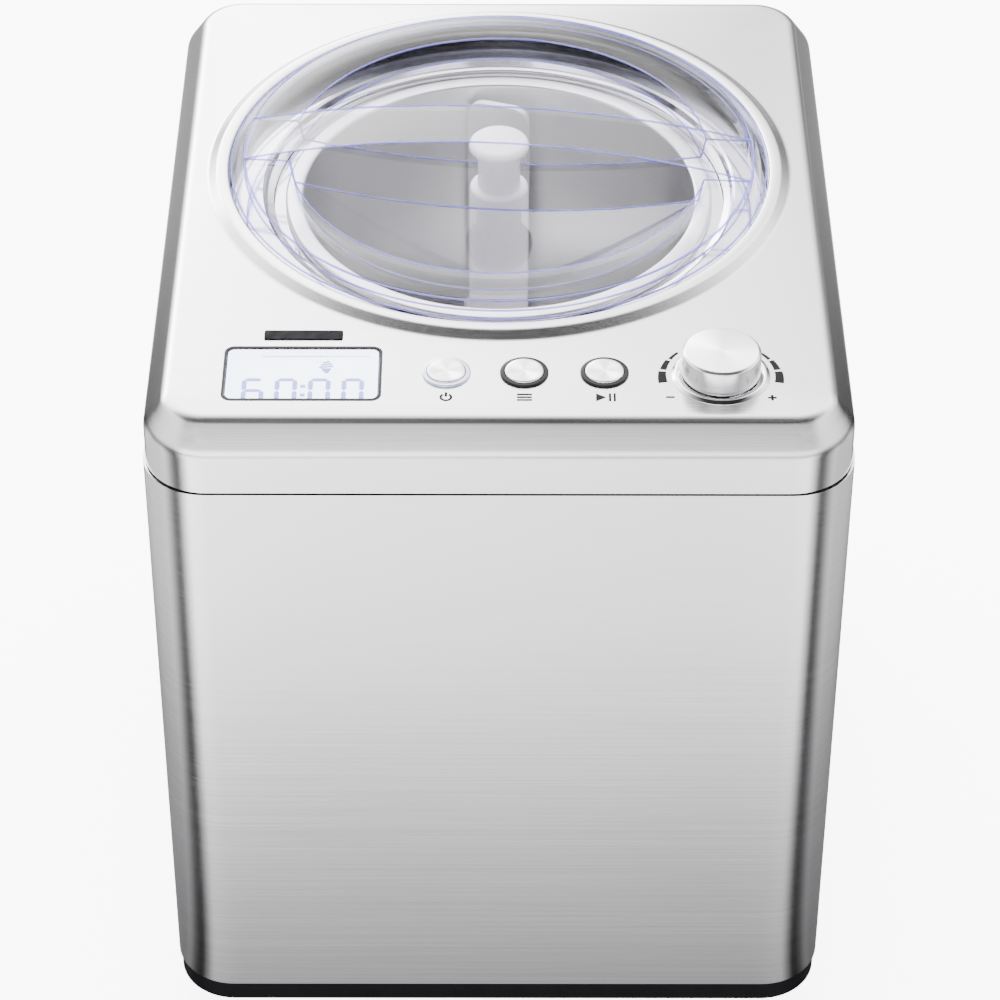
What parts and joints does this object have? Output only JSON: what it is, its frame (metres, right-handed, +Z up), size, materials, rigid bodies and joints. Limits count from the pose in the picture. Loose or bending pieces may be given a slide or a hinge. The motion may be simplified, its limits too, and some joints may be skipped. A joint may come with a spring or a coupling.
{
  "type": "compressor ice cream maker",
  "caption": "Upright brushed-steel ice cream maker with a clear lifting lid, removable bowl and paddle, push buttons, a turning knob and an enclosed gear drive and fan.",
  "frame": {"origin": "on the floor, under the middle of the housing", "axes": "+Z up, +Y towards the back, the control strip faces -Y"},
  "size_m": [0.275, 0.314, 0.3428],
  "materials": {
    "brushed_steel": "brushed",
    "polished_steel": "polished",
    "bare_steel": "plain",
    "black_plastic": "fine grain",
    "gloss_black": "gloss",
    "rubber": "matt",
    "light_plastic": "satin",
    "white_plastic": "satin",
    "clear_plastic": "gloss",
    "aluminium": "drawn",
    "copper": "drawn tube",
    "bronze": "turned",
    "foam": "foamed",
    "gear_plastic": "moulded",
    "zinc_screw": "plated",
    "painted_black": "satin",
    "circuit_green": "gloss",
    "knob_metal": "spun",
    "lit_panel": "backlit",
    "dark_plate": "satin"
  },
  "bodies": {
    "housing": {"base_plate": "black_plastic", "rubber_feet": "rubber", "foot_screws": "zinc_screw", "body_shell": "brushed_steel", "rear_panel": "brushed_steel", "rear_screws": "zinc_screw", "cord_gland": "black_plastic", "cover_frame": "black_plastic", "top_cover": "brushed_steel", "seat_ring": "polished_steel", "cooling_drum": "polished_steel", "evaporator_coil": "copper", "insulation_jacket": "foam", "deck_plate": "bare_steel", "deck_posts": "bare_steel", "deck_screws": "zinc_screw", "gearbox_housing": "light_plastic", "gearbox_cover": "light_plastic", "gearbox_screws": "zinc_screw", "lower_bearing": "bare_steel", "upper_bearing": "bronze", "shaft_seal": "rubber", "idler_axle": "bare_steel", "drive_motor": "bare_steel", "compressor": "painted_black", "compressor_grommets": "rubber", "compressor_bolts": "zinc_screw", "condenser": "aluminium", "fan_frame": "black_plastic", "filter_drier": "copper", "refrigerant_pipes": "copper", "power_board": "circuit_green", "control_board": "circuit_green", "button_switches": "black_plastic", "rotary_encoder": "bare_steel", "display_module": "lit_panel", "display_bezel": "gloss_black", "display_window": "clear_plastic", "badge_plate": "dark_plate", "power_ring": "polished_steel", "menu_ring": "gloss_black", "start_ring": "gloss_black", "knob_flange": "polished_steel"},
    "bowl": {"bowl": "polished_steel"},
    "paddle": {"paddle": "white_plastic"},
    "lid": {"lid": "clear_plastic", "lid_gasket": "clear_plastic"},
    "drive": {"output_gear": "gear_plastic", "output_shaft": "bare_steel"},
    "idler": {"idler_gear": "gear_plastic"},
    "pinion": {"motor_pinion": "gear_plastic", "motor_shaft": "bare_steel"},
    "fan": {"fan_blades": "black_plastic"},
    "knob": {"knob": "knob_metal"},
    "power_button": {"power_button": "knob_metal"},
    "menu_button": {"menu_button": "knob_metal"},
    "start_button": {"start_button": "knob_metal"}
  },
  "joints": [
    {"name": "bowl_lift", "type": "slide", "parent": "housing", "child": "bowl", "axis": [0, 0, 1], "range_m": [0, 0.16]},
    {"name": "paddle_spin", "type": "hinge", "parent": "bowl", "child": "paddle", "pos_m": [0, 0.02, 0.2], "axis": [0, 0, 1], "continuous": true},
    {"name": "lid_lift", "type": "slide", "parent": "bowl", "child": "lid", "axis": [0, 0, 1], "range_m": [0, 0.2]},
    {"name": "drive_spin", "type": "hinge", "parent": "housing", "child": "drive", "pos_m": [0, 0.02, 0.15], "axis": [0, 0, 1], "continuous": true},
    {"name": "idler_spin", "type": "hinge", "parent": "housing", "child": "idler", "pos_m": [0, -0.01755, 0.15], "axis": [0, 0, 1], "continuous": true},
    {"name": "pinion_spin", "type": "hinge", "parent": "housing", "child": "pinion", "pos_m": [0, -0.04885, 0.15], "axis": [0, 0, 1], "continuous": true},
    {"name": "fan_spin", "type": "hinge", "parent": "housing", "child": "fan", "pos_m": [0.07, 0.045, 0.092], "axis": [1, 0, 0], "continuous": true},
    {"name": "knob_turn", "type": "hinge", "parent": "housing", "child": "knob", "pos_m": [0.0849, -0.1216, 0.33], "axis": [0, 0, 1], "continuous": true},
    {"name": "power_press", "type": "slide", "parent": "housing", "child": "power_button", "axis": [0, 0, -1], "range_m": [0, 0.0012], "stiffness_N_per_m": 600},
    {"name": "menu_press", "type": "slide", "parent": "housing", "child": "menu_button", "axis": [0, 0, -1], "range_m": [0, 0.0012], "stiffness_N_per_m": 600},
    {"name": "start_press", "type": "slide", "parent": "housing", "child": "start_button", "axis": [0, 0, -1], "range_m": [0, 0.0012], "stiffness_N_per_m": 600}
  ],
  "couplings": [
    {"joint": "paddle_spin", "follows": "drive_spin", "ratio": 1},
    {"joint": "idler_spin", "follows": "drive_spin", "ratio": -4},
    {"joint": "pinion_spin", "follows": "drive_spin", "ratio": 16}
  ]
}
